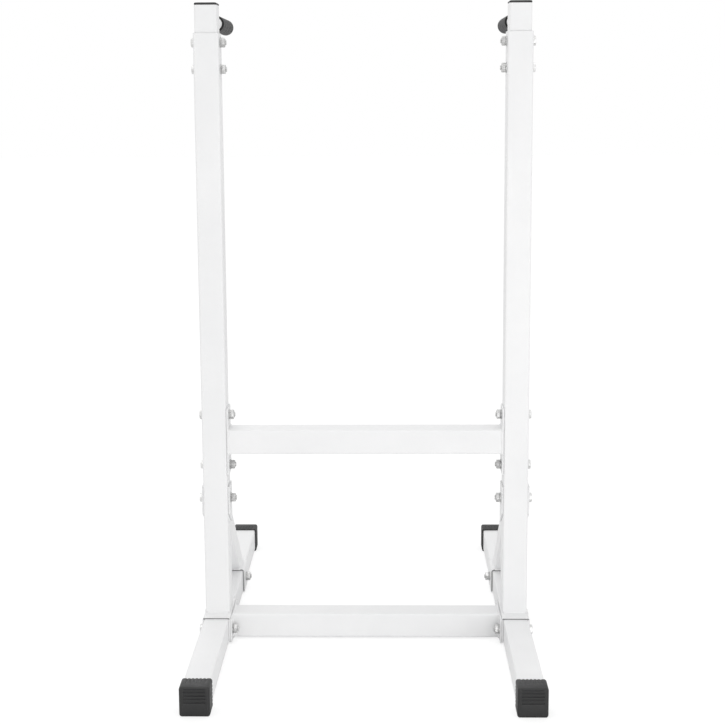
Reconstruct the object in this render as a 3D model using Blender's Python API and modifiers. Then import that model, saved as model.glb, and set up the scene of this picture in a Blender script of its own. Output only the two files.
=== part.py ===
"""Dip station: two side frames of square steel tube, joined by two crossbars, with a parallel handle on each side.

Metres, +Z up, floor at zero. +X is to the right and +Y is the way the handles point. The origin is on the floor,
midway between the feet and midway along them.
"""

import math

import bmesh
import bpy
from mathutils import Matrix

# Clearances
FIT_GAP = 0.0003
HOLE_CLEARANCE = 0.001
POST_CLEARANCE = 0.001
THREAD_CLEARANCE = 0.0003

# Main square tube of the feet, uprights and crossbars
TUBE_SIZE = 0.050
TUBE_WALL = 0.002
TUBE_CORNER = 0.003

# Feet
FOOT_LENGTH = 0.9034
FOOT_SPACING = 0.613
UPRIGHT_FROM_FRONT = 0.370

# Sleeve caps on the ends of the feet, grooved across the upper part of the closed face
CAP_WALL = 0.003
CAP_END_WALL = 0.003
CAP_DEPTH = 0.040
CAP_ROUNDING = 0.005
CAP_GROOVE_COUNT = 4
CAP_GROOVE_PITCH = 0.0066
CAP_GROOVE_WIDTH = 0.0025
CAP_GROOVE_CUT = 0.0008
CAP_GROOVE_MARGIN = 0.0078
CAP_GROOVE_FROM_TOP = 0.0088

# Folded sheet saddles and brackets
SHEET = 0.003
FLANGE_DEPTH = 0.050
SADDLE_LENGTH = 0.106
BRACE_SADDLE_LENGTH = 0.068
BRACKET_FLANGE_DEPTH = 0.045
BRACKET_LOWER_MARGIN = 0.002
BRACKET_BELOW_PLATE = 0.026
BRACKET_LENGTH = 0.088
BRACKET_CUT_RISE = 0.031
BRACKET_BOLT_FROM_TOP = 0.028

# Uprights, and the handle posts that slide into them
UPRIGHT_LENGTH = 1.181
POST_LENGTH = 0.190
POST_EXPOSED = 0.054
POST_BOLT_FROM_TOP = 0.018
POST_BOLT_SPACING = 0.052

# Insert that closes the top of a handle post
INSERT_HEIGHT = 0.005
INSERT_PLUG_DEPTH = 0.015
INSERT_PLUG_WALL = 0.002

# Handles and their grips
HANDLE_DIAMETER = 0.025
HANDLE_WALL = 0.002
HANDLE_DROP = 0.0285
GRIP_START = 0.116
GRIP_LENGTH = 0.175
GRIP_DIAMETER = 0.0337
GRIP_END_WALL = 0.003
GRIP_END_ROUNDING = 0.005

# Braces
BRACE_WIDTH = 0.040
BRACE_DEPTH = 0.040
BRACE_CORNER = 0.003
BRACE_ANGLE = math.radians(43.0)
BRACE_SADDLE_FRONT_MARGIN = 0.001
BRACE_BOLT_FROM_SADDLE_FRONT = 0.035

# Crossbars and their welded end plates
END_PLATE = 0.003
VENT_DIAMETER = 0.020
UPPER_CROSSBAR_HEIGHT = 0.418
UPPER_PLATE_LENGTH = 0.138
UPPER_BOLT_SPACING = 0.105
LOWER_BOLT_SPACING = 0.082

# M10 fasteners, each nut with its washer
BOLT_DIAMETER = 0.010
HEX_FLATS = 0.017
HEAD_HEIGHT = 0.0064
NUT_HEIGHT = 0.008
HEX_CHAMFER = 0.0008
WASHER_DIAMETER = 0.020
WASHER_THICKNESS = 0.002
BOLT_TAIL = 0.0025

# Roundness of the model
CORNER_SEGMENTS = 3
BORE_SIDES = 12
TURNED_STEPS = 24
SMOOTH_ANGLE = math.radians(35.0)
MERGE_DISTANCE = 0.00001

# Finishes: colour, roughness and metallic value
WHITE_POWDER_COAT = ((0.86, 0.86, 0.86), 0.42, 0.0)
BLACK_PLASTIC = ((0.035, 0.035, 0.036), 0.55, 0.0)
GREY_RUBBER = ((0.07, 0.07, 0.072), 0.75, 0.0)
ZINC_PLATE = ((0.62, 0.62, 0.60), 0.38, 1.0)

# Places worked out from the sizes above
HALF_TUBE = TUBE_SIZE / 2
FOOT_AXIS_HEIGHT = CAP_WALL + FIT_GAP + HALF_TUBE
FOOT_TOP = FOOT_AXIS_HEIGHT + HALF_TUBE
SADDLE_TOP = FOOT_TOP + FIT_GAP + SHEET
UPRIGHT_BASE = SADDLE_TOP + FIT_GAP
UPRIGHT_TOP = UPRIGHT_BASE + UPRIGHT_LENGTH
UPRIGHT_Y = UPRIGHT_FROM_FRONT - FOOT_LENGTH / 2
UPRIGHT_REAR = UPRIGHT_Y + HALF_TUBE
POST_SIZE = TUBE_SIZE - 2 * TUBE_WALL - 2 * POST_CLEARANCE
POST_TOP = UPRIGHT_TOP + POST_EXPOSED
POST_REAR = UPRIGHT_Y + POST_SIZE / 2
HANDLE_HEIGHT = POST_TOP - HANDLE_DROP
SHEET_OUTER = HALF_TUBE + FIT_GAP + SHEET
BRACKET_REAR = UPRIGHT_Y + SHEET_OUTER
HOLE_DIAMETER = BOLT_DIAMETER + HOLE_CLEARANCE

# The bracket hangs below the upper crossbar's plate, and the brace runs down from it to the foot
BRACKET_TOP = UPPER_CROSSBAR_HEIGHT - UPPER_PLATE_LENGTH / 2 - BRACKET_BELOW_PLATE
BRACKET_BASE = BRACKET_TOP - BRACKET_LENGTH
BRACKET_BOLT_HEIGHT = BRACKET_TOP - BRACKET_BOLT_FROM_TOP

# The axis of a brace meets the bracket's back at BRACE_TOP_HEIGHT and the saddle's top at BRACE_FOOT_Y
BRACE_TOP_Y = BRACKET_REAR + FIT_GAP
BRACE_TOP_HEIGHT = BRACKET_BASE + BRACKET_LOWER_MARGIN + BRACE_DEPTH / 2 / math.cos(BRACE_ANGLE)
BRACE_FOOT_HEIGHT = SADDLE_TOP + FIT_GAP
BRACE_FOOT_Y = BRACE_TOP_Y + (BRACE_TOP_HEIGHT - BRACE_FOOT_HEIGHT) / math.tan(BRACE_ANGLE)
BRACE_FOOTPRINT = BRACE_DEPTH / math.sin(BRACE_ANGLE)
BRACE_SADDLE_FRONT = BRACE_FOOT_Y - BRACE_FOOTPRINT / 2 - BRACE_SADDLE_FRONT_MARGIN
BRACE_BOLT_Y = BRACE_SADDLE_FRONT + BRACE_BOLT_FROM_SADDLE_FRONT


# An empty scene, with one collection for the parts and one for the cutters

for old_object in list(bpy.data.objects):
    bpy.data.objects.remove(old_object, do_unlink=True)

parts = bpy.data.collections.new("dip_station")
cutters = bpy.data.collections.new("dip_station_cutters")
bpy.context.scene.collection.children.link(parts)
bpy.context.scene.collection.children.link(cutters)


def add_part(name, mesh, finish, location, rotation, parent):
    """Put a finished mesh in the scene as one named sub-part with its own material."""
    part = bpy.data.objects.new(name, mesh)
    part.location = location
    part.rotation_euler = rotation
    part.parent = parent
    colour, roughness, metallic = finish
    material = bpy.data.materials.new(name + "_finish")
    material.use_nodes = True
    shader = material.node_tree.nodes["Principled BSDF"]
    shader.inputs["Base Color"].default_value = (*colour, 1.0)
    shader.inputs["Roughness"].default_value = roughness
    shader.inputs["Metallic"].default_value = metallic
    if not mesh.materials:
        mesh.materials.append(None)
    parts.objects.link(part)
    part.material_slots[0].link = "OBJECT"
    part.material_slots[0].material = material
    return part


def add_cutter(name, mesh, location=(0, 0, 0), rotation=(0, 0, 0), parent=None):
    """Put a helper solid in the cutters' collection."""
    cutter = bpy.data.objects.new(name, mesh)
    cutter.location = location
    cutter.rotation_euler = rotation
    cutter.parent = parent
    cutter.hide_render = True
    cutter.display_type = "WIRE"
    cutters.objects.link(cutter)
    return cutter


def combine(part, other, operation):
    """Cut the other solid out of a part, or join it on."""
    modifier = part.modifiers.new(operation.lower() + "_" + other.name, "BOOLEAN")
    modifier.operation = operation
    modifier.solver = "EXACT"
    modifier.object = other


def solidify(part, thickness, outward):
    """Give an open surface its wall."""
    modifier = part.modifiers.new("wall", "SOLIDIFY")
    modifier.thickness = thickness
    modifier.offset = 1.0 if outward else -1.0
    modifier.use_even_offset = True


def finish_mesh(mesh_builder, name):
    """Write a bmesh to a new mesh."""
    mesh = bpy.data.meshes.new(name)
    mesh_builder.to_mesh(mesh)
    mesh_builder.free()
    return mesh


def cube_builder(size, centre=(0, 0, 0)):
    """A box as a bmesh, at its size and place."""
    builder = bmesh.new()
    bmesh.ops.create_cube(builder, size=1.0)
    bmesh.ops.scale(builder, vec=size, verts=builder.verts)
    bmesh.ops.translate(builder, vec=centre, verts=builder.verts)
    return builder


def box_mesh(name, size, centre=(0, 0, 0)):
    return finish_mesh(cube_builder(size, centre), name)


def edges_along(builder, axis):
    """The edges that run along one axis."""
    chosen = []
    for edge in builder.edges:
        run = edge.verts[1].co - edge.verts[0].co
        if abs(run[axis]) > 0.9 * run.length:
            chosen.append(edge)
    return chosen


def round_edges(builder, edges, radius, segments=CORNER_SEGMENTS):
    bmesh.ops.bevel(builder, geom=edges, offset=radius, segments=segments, profile=0.5, affect="EDGES")


def drop_faces(builder, test):
    """Open a solid where its faces' normals pass the test."""
    faces = [face for face in builder.faces if test(face.normal)]
    bmesh.ops.delete(builder, geom=faces, context="FACES_ONLY")


def tube_surface(name, width, depth, length, corner):
    """The outside of a square tube along Z, open at both ends. Solidify gives it its wall."""
    builder = cube_builder((width, depth, length))
    drop_faces(builder, lambda normal: abs(normal.z) > 0.5)
    round_edges(builder, edges_along(builder, 2), corner)
    return finish_mesh(builder, name)


def channel_surface(name, inner_width, flange_depth, length):
    """The inside of a folded channel: its web is at the top, its flanges hang down, and it is open along Y."""
    builder = cube_builder((inner_width, length, flange_depth), (0, 0, -flange_depth / 2))
    drop_faces(builder, lambda normal: normal.z < -0.5 or abs(normal.y) > 0.5)
    folds = [edge for edge in edges_along(builder, 1) if edge.verts[0].co.z > -flange_depth / 2]
    round_edges(builder, folds, TUBE_CORNER)
    return finish_mesh(builder, name)


def rod_mesh(name, diameter, start, end):
    """A round rod along X, from its start to its end."""
    builder = bmesh.new()
    radius = diameter / 2
    length = end - start
    bmesh.ops.create_cone(
        builder, cap_ends=True, segments=BORE_SIDES, radius1=radius, radius2=radius, depth=length
    )
    bmesh.ops.rotate(builder, cent=(0, 0, 0), matrix=Matrix.Rotation(math.pi / 2, 3, "Y"), verts=builder.verts)
    bmesh.ops.translate(builder, vec=((start + end) / 2, 0, 0), verts=builder.verts)
    return finish_mesh(builder, name)


def profile_mesh(name, points, closed):
    """A profile of (radius, height) points for a Screw modifier round Z."""
    builder = bmesh.new()
    verts = [builder.verts.new((radius, 0, height)) for radius, height in points]
    for first, second in zip(verts, verts[1:]):
        builder.edges.new((first, second))
    if closed:
        builder.edges.new((verts[-1], verts[0]))
    return finish_mesh(builder, name)


def turn(part):
    """Turn a profile into a round solid."""
    modifier = part.modifiers.new("turned", "SCREW")
    modifier.axis = "Z"
    modifier.steps = TURNED_STEPS
    modifier.render_steps = TURNED_STEPS
    modifier.use_merge_vertices = True
    modifier.merge_threshold = MERGE_DISTANCE
    modifier.use_smooth_shade = True


def arc(centre_radius, centre_height, radius, start, end, steps):
    """Points on an arc in a turned profile, with angles in degrees from the radial direction."""
    points = []
    for step in range(steps + 1):
        angle = math.radians(start + (end - start) * step / steps)
        points.append((centre_radius + radius * math.cos(angle), centre_height + radius * math.sin(angle)))
    return points


def evaluated_mesh(helper, name):
    """The mesh of a helper with its modifiers applied, shaded smooth where it is round. The helper is removed."""
    bpy.context.view_layer.update()
    graph = bpy.context.evaluated_depsgraph_get()
    mesh = bpy.data.meshes.new_from_object(helper.evaluated_get(graph))
    mesh.name = name
    mesh.shade_smooth()
    mesh.set_sharp_from_angle(angle=SMOOTH_ANGLE)
    bpy.data.objects.remove(helper, do_unlink=True)
    return mesh


def hexagon_mesh(name, start, height, direction):
    """A hexagonal prism along X from its start, with its outer end chamfered."""
    corner_radius = HEX_FLATS / math.sqrt(3.0)
    builder = bmesh.new()
    bmesh.ops.create_cone(
        builder, cap_ends=True, segments=6, radius1=corner_radius, radius2=corner_radius, depth=height
    )
    bmesh.ops.translate(builder, vec=(0, 0, height / 2), verts=builder.verts)
    rim = [edge for edge in builder.edges if min(vert.co.z for vert in edge.verts) > 0.9 * height]
    bmesh.ops.bevel(builder, geom=rim, offset=HEX_CHAMFER, segments=1, affect="EDGES")
    turn_to_x = Matrix.Rotation(direction * math.pi / 2, 3, "Y")
    bmesh.ops.rotate(builder, cent=(0, 0, 0), matrix=turn_to_x, verts=builder.verts)
    bmesh.ops.translate(builder, vec=(start, 0, 0), verts=builder.verts)
    return finish_mesh(builder, name)


# Where the bolts go

def post_bolts():
    """The depth and height of each bolt that holds a handle post in its upright. The others are given alike."""
    upper = UPRIGHT_TOP - POST_BOLT_FROM_TOP
    return [(UPRIGHT_Y, upper), (UPRIGHT_Y, upper - POST_BOLT_SPACING)]


def upper_crossbar_bolts():
    half = UPPER_BOLT_SPACING / 2
    return [(UPRIGHT_Y, UPPER_CROSSBAR_HEIGHT + half), (UPRIGHT_Y, UPPER_CROSSBAR_HEIGHT - half)]


def lower_crossbar_bolts():
    half = LOWER_BOLT_SPACING / 2
    return [(UPRIGHT_Y - half, FOOT_AXIS_HEIGHT), (UPRIGHT_Y + half, FOOT_AXIS_HEIGHT)]


def bracket_bolts():
    return [(UPRIGHT_Y, BRACKET_BOLT_HEIGHT)]


def brace_saddle_bolts():
    return [(BRACE_BOLT_Y, FOOT_AXIS_HEIGHT)]


def drill(part, label, places, side_centre):
    """Cut a bolt hole along X at each of the places, through all the walls of a part."""
    reach = 2 * TUBE_SIZE
    for number, (y, z) in enumerate(places, 1):
        name = f"{part.name}_{label}_hole_{number}"
        cutter = add_cutter(name, rod_mesh(name, HOLE_DIAMETER, -reach, reach), (side_centre, y, z))
        combine(part, cutter, "DIFFERENCE")


# Feet and their caps

def make_foot(side_name, side_centre, frame):
    surface = tube_surface("foot_tube", TUBE_SIZE, TUBE_SIZE, FOOT_LENGTH, TUBE_CORNER)
    lying = (math.pi / 2, 0, 0)
    foot = add_part(f"foot_{side_name}", surface, WHITE_POWDER_COAT, (side_centre, 0, FOOT_AXIS_HEIGHT), lying, frame)
    solidify(foot, TUBE_WALL, outward=False)
    drill(foot, "saddle", lower_crossbar_bolts(), side_centre)
    drill(foot, "brace", brace_saddle_bolts(), side_centre)


def groove_mesh(outer_size):
    """The grooves across the upper part of a cap's closed face, as thin bars."""
    first = outer_size / 2 - CAP_GROOVE_FROM_TOP
    builder = bmesh.new()
    for number in range(CAP_GROOVE_COUNT):
        made = bmesh.ops.create_cube(builder, size=1.0)
        size = (outer_size - 2 * CAP_GROOVE_MARGIN, 2 * CAP_GROOVE_CUT, CAP_GROOVE_WIDTH)
        bmesh.ops.scale(builder, vec=size, verts=made["verts"])
        place = (0, -CAP_DEPTH / 2, first - number * CAP_GROOVE_PITCH)
        bmesh.ops.translate(builder, vec=place, verts=made["verts"])
    return finish_mesh(builder, "cap_grooves")


def make_foot_cap(end_name, end, side_name, side_centre, frame):
    """A cap whose closed face is at -Y in its own frame, turned round for the other end of the foot."""
    inner_size = TUBE_SIZE + 2 * FIT_GAP
    outer_size = inner_size + 2 * CAP_WALL
    name = f"foot_cap_{end_name}_{side_name}"
    builder = cube_builder((outer_size, CAP_DEPTH, outer_size))
    rim = {vert for face in builder.faces if face.normal.y > 0.5 for vert in face.verts}
    rounded = [edge for edge in builder.edges if not (edge.verts[0] in rim and edge.verts[1] in rim)]
    round_edges(builder, rounded, CAP_ROUNDING)
    tube_end = end * FOOT_LENGTH / 2
    middle = tube_end + end * (FIT_GAP + CAP_END_WALL - CAP_DEPTH / 2)
    place = (side_centre, middle, FOOT_AXIS_HEIGHT)
    facing = (0, 0, 0 if end < 0 else math.pi)
    cap = add_part(name, finish_mesh(builder, name), BLACK_PLASTIC, place, facing, frame)
    hollow = box_mesh("cap_hollow", (inner_size, CAP_DEPTH, inner_size), (0, CAP_END_WALL, 0))
    combine(cap, add_cutter(name + "_hollow", hollow, place, facing), "DIFFERENCE")
    combine(cap, add_cutter(name + "_grooves", groove_mesh(outer_size), place, facing), "DIFFERENCE")


# Uprights and the saddles that they stand on

def make_channel(name, flange_depth, length, location, rotation, frame):
    """A folded channel that fits over a square tube with the fit gap."""
    surface = channel_surface(name, TUBE_SIZE + 2 * FIT_GAP, flange_depth, length)
    channel = add_part(name, surface, WHITE_POWDER_COAT, location, rotation, frame)
    solidify(channel, SHEET, outward=True)
    return channel


def make_upright(side_name, side_centre, frame):
    surface = tube_surface("upright_tube", TUBE_SIZE, TUBE_SIZE, UPRIGHT_LENGTH, TUBE_CORNER)
    middle = (side_centre, UPRIGHT_Y, UPRIGHT_BASE + UPRIGHT_LENGTH / 2)
    upright = add_part(f"upright_{side_name}", surface, WHITE_POWDER_COAT, middle, (0, 0, 0), frame)
    solidify(upright, TUBE_WALL, outward=False)
    drill(upright, "post", post_bolts(), side_centre)
    drill(upright, "crossbar", upper_crossbar_bolts(), side_centre)
    drill(upright, "bracket", bracket_bolts(), side_centre)


def make_upright_saddle(side_name, side_centre, frame):
    name = f"upright_saddle_{side_name}"
    place = (side_centre, UPRIGHT_Y, FOOT_TOP + FIT_GAP)
    saddle = make_channel(name, FLANGE_DEPTH, SADDLE_LENGTH, place, (0, 0, 0), frame)
    drill(saddle, "bolt", lower_crossbar_bolts(), side_centre)


# Handle posts, their inserts, the handles and the grips

def make_handle_post(side_name, side_centre, frame):
    surface = tube_surface("post_tube", POST_SIZE, POST_SIZE, POST_LENGTH, TUBE_CORNER)
    middle = (side_centre, UPRIGHT_Y, POST_TOP - POST_LENGTH / 2)
    post = add_part(f"handle_post_{side_name}", surface, WHITE_POWDER_COAT, middle, (0, 0, 0), frame)
    solidify(post, TUBE_WALL, outward=False)
    drill(post, "bolt", post_bolts(), side_centre)


def make_post_insert(side_name, side_centre, frame):
    """A cap that lies on the post's end, with a hollow plug that goes down inside it."""
    name = f"post_insert_{side_name}"
    builder = cube_builder((POST_SIZE, POST_SIZE, INSERT_HEIGHT), (0, 0, INSERT_HEIGHT / 2))
    crown = [edge for edge in builder.edges if max(vert.co.z for vert in edge.verts) > INSERT_HEIGHT / 2]
    round_edges(builder, crown, TUBE_CORNER)
    place = (side_centre, UPRIGHT_Y, POST_TOP + FIT_GAP)
    insert = add_part(name, finish_mesh(builder, name), BLACK_PLASTIC, place, (0, 0, 0), frame)
    plug_size = POST_SIZE - 2 * TUBE_WALL - 2 * FIT_GAP
    overlap = INSERT_HEIGHT / 4
    plug_height = INSERT_PLUG_DEPTH + overlap
    plug_builder = cube_builder((plug_size, plug_size, plug_height), (0, 0, overlap - plug_height / 2))
    round_edges(plug_builder, edges_along(plug_builder, 2), TUBE_CORNER - TUBE_WALL, segments=1)
    plug = add_cutter(name + "_plug", finish_mesh(plug_builder, name + "_plug"), place)
    combine(insert, plug, "UNION")
    hollow_size = plug_size - 2 * INSERT_PLUG_WALL
    hollow = box_mesh(name + "_hollow", (hollow_size, hollow_size, 2 * INSERT_PLUG_DEPTH), (0, 0, -INSERT_PLUG_DEPTH))
    combine(insert, add_cutter(name + "_hollow", hollow, place), "DIFFERENCE")


def make_handle(side_name, side_centre, frame):
    """A round tube welded to the back of the post. In its own frame it runs down -Z from the far end."""
    start = POST_REAR + FIT_GAP
    end = UPRIGHT_REAR + GRIP_START + GRIP_LENGTH - GRIP_END_WALL - FIT_GAP
    outer = HANDLE_DIAMETER / 2
    inner = outer - HANDLE_WALL
    length = end - start
    ring = profile_mesh("handle_profile", [(outer, 0), (outer, -length), (inner, -length), (inner, 0)], closed=True)
    place = (side_centre, end, HANDLE_HEIGHT)
    away = (-math.pi / 2, 0, 0)
    handle = add_part(f"handle_{side_name}", ring, WHITE_POWDER_COAT, place, away, frame)
    turn(handle)


def make_grip(side_name, side_centre, frame):
    """A moulded sleeve with a closed, rounded far end."""
    radius = GRIP_DIAMETER / 2
    bore = HANDLE_DIAMETER / 2 + FIT_GAP
    rounding = GRIP_END_ROUNDING
    points = [(0, 0)]
    points += arc(radius - rounding, -rounding, rounding, 90, 0, CORNER_SEGMENTS)
    points += [(radius, -GRIP_LENGTH), (bore, -GRIP_LENGTH), (bore, -GRIP_END_WALL), (0, -GRIP_END_WALL)]
    place = (side_centre, UPRIGHT_REAR + GRIP_START + GRIP_LENGTH, HANDLE_HEIGHT)
    away = (-math.pi / 2, 0, 0)
    profile = profile_mesh("grip_profile", points, closed=False)
    grip = add_part(f"grip_{side_name}", profile, GREY_RUBBER, place, away, frame)
    turn(grip)


# Braces, and the bracket and saddle at their ends

def make_brace(side_name, side_centre, frame):
    """A tube at the brace angle, cut upright at its bracket and level at its saddle."""
    run = BRACE_FOOT_Y - BRACE_TOP_Y
    rise = BRACE_TOP_HEIGHT - BRACE_FOOT_HEIGHT
    spare = 2 * BRACE_DEPTH
    length = math.hypot(run, rise) + 2 * spare
    surface = tube_surface("brace_tube", BRACE_WIDTH, BRACE_DEPTH, length, BRACE_CORNER)
    middle = (side_centre, BRACE_TOP_Y + run / 2, BRACE_FOOT_HEIGHT + rise / 2)
    leaning = (math.pi / 2 - BRACE_ANGLE, 0, 0)
    brace = add_part(f"brace_{side_name}", surface, WHITE_POWDER_COAT, middle, leaning, frame)
    solidify(brace, TUBE_WALL, outward=False)
    block = 2 * (spare + BRACE_DEPTH)
    front = box_mesh("brace_front_cut", (block, block, 2 * block), (0, -block / 2, 0))
    front_place = (side_centre, BRACE_TOP_Y, BRACE_TOP_HEIGHT)
    combine(brace, add_cutter(brace.name + "_front_cut", front, front_place), "DIFFERENCE")
    under = box_mesh("brace_under_cut", (block, 2 * block, block), (0, 0, -block / 2))
    under_place = (side_centre, BRACE_FOOT_Y, BRACE_FOOT_HEIGHT)
    combine(brace, add_cutter(brace.name + "_under_cut", under, under_place), "DIFFERENCE")


def make_brace_bracket(side_name, side_centre, frame):
    """A channel round the back of the upright, with its flanges cut back below. The brace is welded to its web."""
    name = f"brace_bracket_{side_name}"
    web = UPRIGHT_REAR + FIT_GAP
    place = (side_centre, web, BRACKET_BASE + BRACKET_LENGTH / 2)
    bracket = make_channel(name, BRACKET_FLANGE_DEPTH, BRACKET_LENGTH, place, (-math.pi / 2, 0, 0), frame)
    drill(bracket, "bolt", bracket_bolts(), side_centre)
    block = 2 * (BRACKET_FLANGE_DEPTH + TUBE_SIZE)
    below = box_mesh(name + "_corner", (block, block, block), (0, 0, -block / 2))
    slope = -math.atan2(BRACKET_CUT_RISE, BRACKET_FLANGE_DEPTH)
    corner = add_cutter(name + "_corner", below, (side_centre, web, BRACKET_BASE), (slope, 0, 0))
    combine(bracket, corner, "DIFFERENCE")


def make_brace_saddle(side_name, side_centre, frame):
    name = f"brace_saddle_{side_name}"
    middle = BRACE_SADDLE_FRONT + BRACE_SADDLE_LENGTH / 2
    place = (side_centre, middle, FOOT_TOP + FIT_GAP)
    saddle = make_channel(name, FLANGE_DEPTH, BRACE_SADDLE_LENGTH, place, (0, 0, 0), frame)
    drill(saddle, "bolt", brace_saddle_bolts(), side_centre)


# Crossbars

def make_crossbar(name, height, reach, plate_size, bolts, frame):
    """A tube across the station with a plate welded on each end. A vent hole in each plate opens the tube."""
    tube_length = 2 * (reach - END_PLATE / 2)
    surface = tube_surface(name + "_tube", TUBE_SIZE, TUBE_SIZE, tube_length, TUBE_CORNER)
    across = (0, math.pi / 2, 0)
    crossbar = add_part(name, surface, WHITE_POWDER_COAT, (0, UPRIGHT_Y, height), across, frame)
    solidify(crossbar, TUBE_WALL, outward=False)
    for side_name, side in (("left", -1), ("right", 1)):
        plate = box_mesh(name + "_plate", (END_PLATE, *plate_size))
        place = (side * (reach - END_PLATE / 2), UPRIGHT_Y, height)
        combine(crossbar, add_cutter(f"{name}_plate_{side_name}", plate, place), "UNION")
    for side_name, side in (("left", -1), ("right", 1)):
        plate_middle = side * (reach - END_PLATE / 2)
        places = [("vent", UPRIGHT_Y, height, VENT_DIAMETER)]
        places += [(f"hole_{number}", y, z, HOLE_DIAMETER) for number, (y, z) in enumerate(bolts, 1)]
        for label, y, z, diameter in places:
            cutter_name = f"{name}_{side_name}_{label}"
            hole = rod_mesh(cutter_name, diameter, -2 * END_PLATE, 2 * END_PLATE)
            combine(crossbar, add_cutter(cutter_name, hole, (plate_middle, y, z)), "DIFFERENCE")


# Fasteners

def bolt_mesh(grip_length):
    """A bolt along X: its head is at -X, and its head's seat is at zero."""
    name = f"bolt_{round(grip_length * 10000)}"
    tail = grip_length + WASHER_THICKNESS + NUT_HEIGHT + BOLT_TAIL
    helper = add_cutter(name + "_shank", rod_mesh(name + "_shank", BOLT_DIAMETER, -HEAD_HEIGHT / 2, tail))
    head = add_cutter(name + "_head", hexagon_mesh(name + "_head", 0, HEAD_HEIGHT, -1))
    combine(helper, head, "UNION")
    mesh = evaluated_mesh(helper, name)
    bpy.data.objects.remove(head, do_unlink=True)
    return mesh


def nut_mesh():
    """A nut along X with its washer. The washer's seat is at zero, and the nut reaches to +X."""
    name = "nut"
    sunk = WASHER_THICKNESS / 2
    helper = add_cutter(name + "_washer", rod_mesh(name + "_washer", WASHER_DIAMETER, 0, WASHER_THICKNESS))
    body = add_cutter(name + "_body", hexagon_mesh(name + "_body", sunk, NUT_HEIGHT + sunk, 1))
    bore_diameter = BOLT_DIAMETER + 2 * THREAD_CLEARANCE
    bore_mesh = rod_mesh(name + "_bore", bore_diameter, -NUT_HEIGHT, 3 * NUT_HEIGHT)
    bore = add_cutter(name + "_bore", bore_mesh)
    combine(helper, body, "UNION")
    combine(helper, bore, "DIFFERENCE")
    mesh = evaluated_mesh(helper, name)
    for piece in (body, bore):
        bpy.data.objects.remove(piece, do_unlink=True)
    return mesh


bolt_meshes = {}
washer_nut = nut_mesh()


def fasten(label, places, outer, inner, side_name, side, side_centre, frame):
    """A bolt and a nut at each place. The heads are on the outside of the station and the nuts on the inside."""
    grip_length = outer + inner + 2 * FIT_GAP
    if grip_length not in bolt_meshes:
        bolt_meshes[grip_length] = bolt_mesh(grip_length)
    facing = (0, 0, 0 if side < 0 else math.pi)
    for number, (y, z) in enumerate(places, 1):
        ending = f"{label}_{side_name}" if len(places) == 1 else f"{label}_{number}_{side_name}"
        outside = side_centre + side * (outer + FIT_GAP)
        inside = side_centre - side * (inner + FIT_GAP)
        add_part(f"bolt_{ending}", bolt_meshes[grip_length], ZINC_PLATE, (outside, y, z), facing, frame)
        add_part(f"nut_{ending}", washer_nut, ZINC_PLATE, (inside, y, z), facing, frame)


# Assembly

station = bpy.data.objects.new("station", None)
parts.objects.link(station)

for side_name, side in (("left", -1), ("right", 1)):
    side_centre = side * FOOT_SPACING / 2
    make_foot(side_name, side_centre, station)
    make_foot_cap("front", -1, side_name, side_centre, station)
    make_foot_cap("rear", 1, side_name, side_centre, station)
    make_upright_saddle(side_name, side_centre, station)
    make_upright(side_name, side_centre, station)
    make_handle_post(side_name, side_centre, station)
    make_post_insert(side_name, side_centre, station)
    make_handle(side_name, side_centre, station)
    make_grip(side_name, side_centre, station)
    make_brace(side_name, side_centre, station)
    make_brace_bracket(side_name, side_centre, station)
    make_brace_saddle(side_name, side_centre, station)
    plated = FIT_GAP + END_PLATE
    hardware = (side_name, side, side_centre, station)
    fasten("post", post_bolts(), HALF_TUBE, HALF_TUBE, *hardware)
    fasten("crossbar", upper_crossbar_bolts(), HALF_TUBE, HALF_TUBE + plated, *hardware)
    fasten("bracket", bracket_bolts(), SHEET_OUTER, SHEET_OUTER, *hardware)
    fasten("saddle", lower_crossbar_bolts(), SHEET_OUTER, SHEET_OUTER + plated, *hardware)
    fasten("brace_saddle", brace_saddle_bolts(), SHEET_OUTER, SHEET_OUTER, *hardware)

upper_reach = FOOT_SPACING / 2 - HALF_TUBE - FIT_GAP
lower_reach = FOOT_SPACING / 2 - SHEET_OUTER - FIT_GAP
upright_plate = (TUBE_SIZE, UPPER_PLATE_LENGTH)
saddle_plate = (SADDLE_LENGTH, TUBE_SIZE)
make_crossbar("crossbar_upper", UPPER_CROSSBAR_HEIGHT, upper_reach, upright_plate, upper_crossbar_bolts(), station)
make_crossbar("crossbar_lower", FOOT_AXIS_HEIGHT, lower_reach, saddle_plate, lower_crossbar_bolts(), station)
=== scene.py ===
import math

import bmesh
import bpy
from mathutils import Matrix, Vector


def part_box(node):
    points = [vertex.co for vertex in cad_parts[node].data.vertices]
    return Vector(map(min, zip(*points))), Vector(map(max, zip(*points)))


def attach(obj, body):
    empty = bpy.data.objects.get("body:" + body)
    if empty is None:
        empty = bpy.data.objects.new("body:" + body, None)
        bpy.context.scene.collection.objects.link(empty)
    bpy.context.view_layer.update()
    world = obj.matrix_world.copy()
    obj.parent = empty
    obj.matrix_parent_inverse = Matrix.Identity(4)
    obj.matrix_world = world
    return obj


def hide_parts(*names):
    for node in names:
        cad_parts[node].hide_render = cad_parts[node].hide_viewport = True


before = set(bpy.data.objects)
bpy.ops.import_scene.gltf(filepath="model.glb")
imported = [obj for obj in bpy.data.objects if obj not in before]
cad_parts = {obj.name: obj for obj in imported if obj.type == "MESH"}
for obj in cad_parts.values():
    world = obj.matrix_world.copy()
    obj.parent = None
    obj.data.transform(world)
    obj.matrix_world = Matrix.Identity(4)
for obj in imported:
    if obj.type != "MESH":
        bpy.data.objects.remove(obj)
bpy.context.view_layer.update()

# Camera. It stands square to the crossbars at chest height, a little right of the middle. The picture is the
# lower part of a wider one, so the lens is shifted down a little and only the rest is tilted.

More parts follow.
